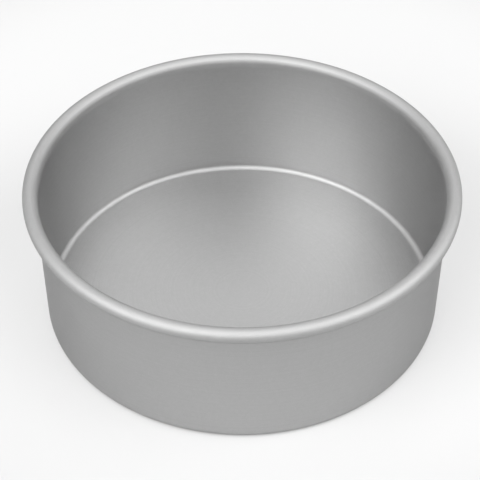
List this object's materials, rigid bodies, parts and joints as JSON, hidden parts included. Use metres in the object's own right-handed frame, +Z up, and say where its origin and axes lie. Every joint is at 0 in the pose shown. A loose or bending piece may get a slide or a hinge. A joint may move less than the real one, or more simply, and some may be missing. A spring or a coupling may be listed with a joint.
{
  "type": "round cake tin",
  "caption": "Round cake tin in sheet aluminium, with a nearly upright wall, a flat base, a rounded corner and a rim rolled outward round a wire.",
  "frame": {"origin": "centre of the underside of the base, on the plane that the tin stands on", "axes": "+Z up the tin's axis, out of its mouth; +X and +Y are free because the body is a figure of revolution, and the two ends of the rim wire meet at +X"},
  "size_m": [0.2178, 0.2178, 0.0778],
  "materials": {
    "satin_aluminium": "satin, matt and even",
    "wire_steel": "drawn wire"
  },
  "bodies": {
    "root": {"tin_body": "satin_aluminium", "rim_wire": "wire_steel"}
  },
  "joints": []
}
